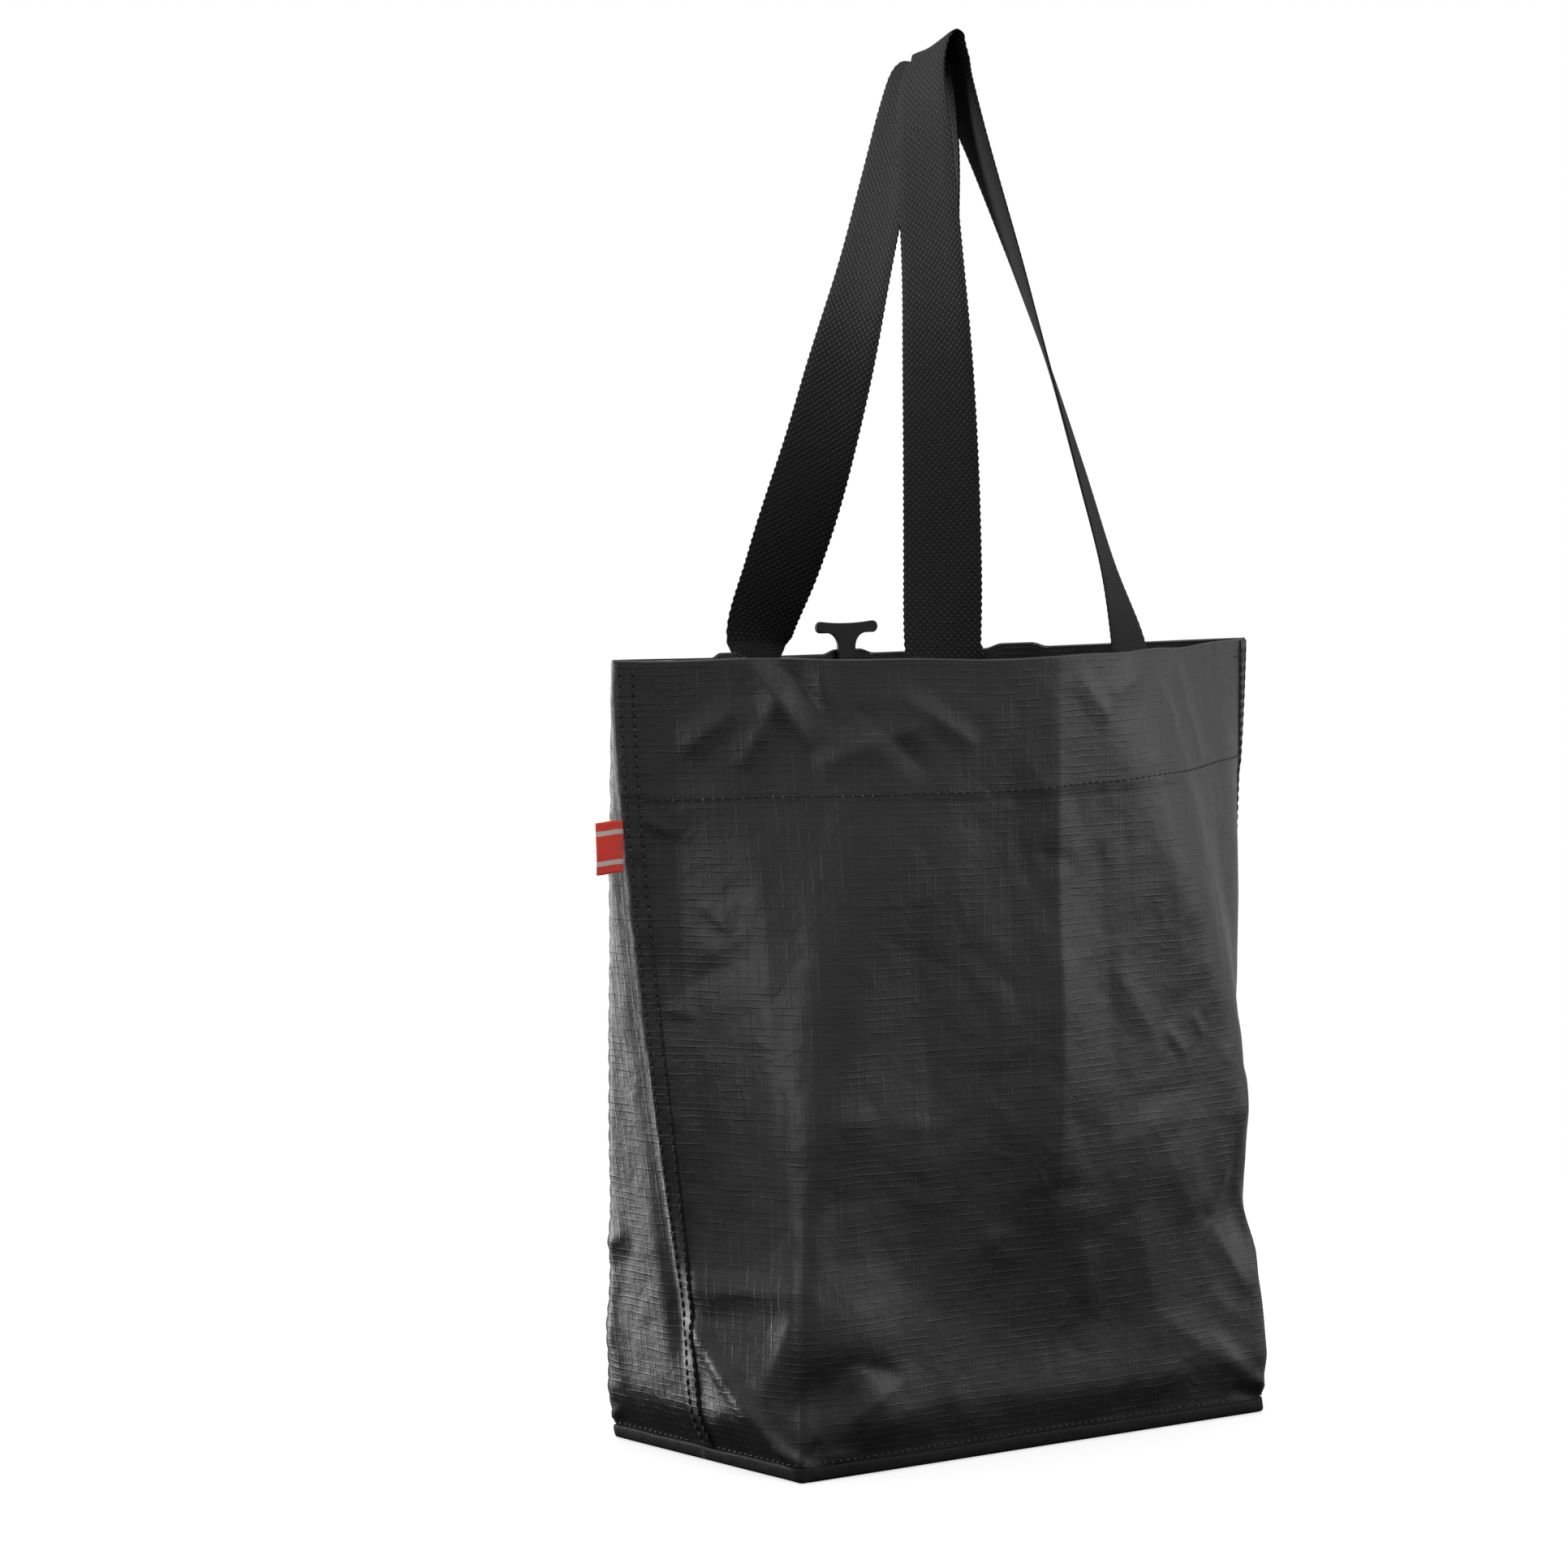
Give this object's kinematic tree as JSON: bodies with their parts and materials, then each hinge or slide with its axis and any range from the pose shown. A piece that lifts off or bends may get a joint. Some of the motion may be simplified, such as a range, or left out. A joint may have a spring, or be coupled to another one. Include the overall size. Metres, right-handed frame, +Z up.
{
  "type": "tote bag",
  "caption": "Foldable tote bag in glossy black coated woven laminate with a flat bound base, a deep stitched hem, webbing handles gathered upright, a side tag and a T-shaped closing tab.",
  "frame": {"origin": "centre of the base's underside", "axes": "+Z up out of the mouth, +X to the right seen from the front along the mouth's length, front of the bag at -Y"},
  "size_m": [0.421, 0.158, 0.6996],
  "materials": {
    "laminate": "semi-gloss black coated woven laminate with a fine grid",
    "inner_laminate": "the same coated laminate on the inside of the hem",
    "binding": "matte black woven binding tape",
    "webbing": "black polypropylene webbing with a fine dotted weave",
    "thread": "dark sewing thread",
    "base_thread": "grey sewing thread that catches the light",
    "board": "plain dark plastic board",
    "tag": "red woven ribbon with plain off-white stripes",
    "tab": "matte black moulded plastic"
  },
  "bodies": {
    "root": {"front_panel": "laminate", "back_panel": "laminate", "front_hem_facing": "inner_laminate", "back_hem_facing": "inner_laminate", "hem_stitching": "thread", "left_side_seam": "laminate", "right_side_seam": "laminate", "left_seam_stitching": "thread", "right_seam_stitching": "thread", "left_bar_tack": "thread", "right_bar_tack": "thread", "base_panel": "laminate", "base_board": "board", "base_binding": "binding", "base_stitching": "base_thread", "front_strap_ends": "webbing", "back_strap_ends": "webbing", "strap_stitching": "thread", "tab_root": "tab", "tab_patch": "inner_laminate"},
    "front_handle": {"front_handle": "webbing"},
    "back_handle": {"back_handle": "webbing"},
    "side_tag": {"side_tag": "tag"},
    "closing_tab": {"closing_tab": "tab"}
  },
  "joints": [
    {"name": "front_handle_swing", "type": "hinge", "parent": "root", "child": "front_handle", "pos_m": [0, -0.0785, 0.393], "axis": [1, 0, 0], "range_deg": [0, 185]},
    {"name": "back_handle_swing", "type": "hinge", "parent": "root", "child": "back_handle", "pos_m": [0, 0.0785, 0.393], "axis": [-1, 0, 0], "range_deg": [0, 185]},
    {"name": "side_tag_flap", "type": "hinge", "parent": "root", "child": "side_tag", "pos_m": [-0.1998, 0, 0.3035], "axis": [0, 0, 1], "range_deg": [-50, 50]},
    {"name": "closing_tab_bend", "type": "hinge", "parent": "root", "child": "closing_tab", "pos_m": [0, 0.0755, 0.3773], "axis": [1, 0, 0], "range_deg": [0, 60]}
  ]
}
